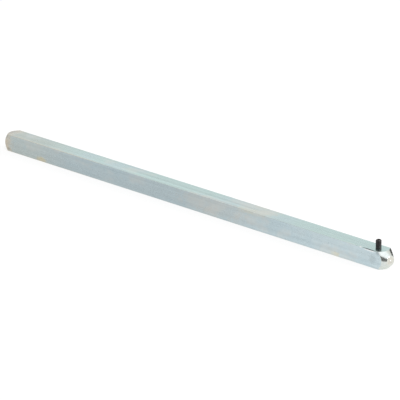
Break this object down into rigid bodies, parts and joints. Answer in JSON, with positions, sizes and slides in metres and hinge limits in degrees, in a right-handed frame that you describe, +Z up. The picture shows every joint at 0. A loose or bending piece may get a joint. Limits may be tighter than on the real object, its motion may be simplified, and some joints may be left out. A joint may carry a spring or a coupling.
{
  "type": "square extension shaft",
  "caption": "Long square steel shaft with turned tapered ends and a black slotted spring pin standing across one end, for driving a part with a square socket.",
  "frame": {"origin": "middle of the bottom flat, on the surface that the shaft lies on", "axes": "+X along the shaft towards the tapered end with the pin, +Y across the shaft, +Z up, along the pin away from the bar"},
  "size_m": [0.3, 0.01, 0.0147],
  "materials": {
    "zinc_plated_steel": "drawn bar, bright bluish zinc plating with faint yellow tints, satin",
    "black_spring_steel": "black phosphated and oiled spring steel, semi-matt"
  },
  "bodies": {
    "root": {"square_shaft": "zinc_plated_steel", "spring_pin": "black_spring_steel"}
  },
  "joints": []
}
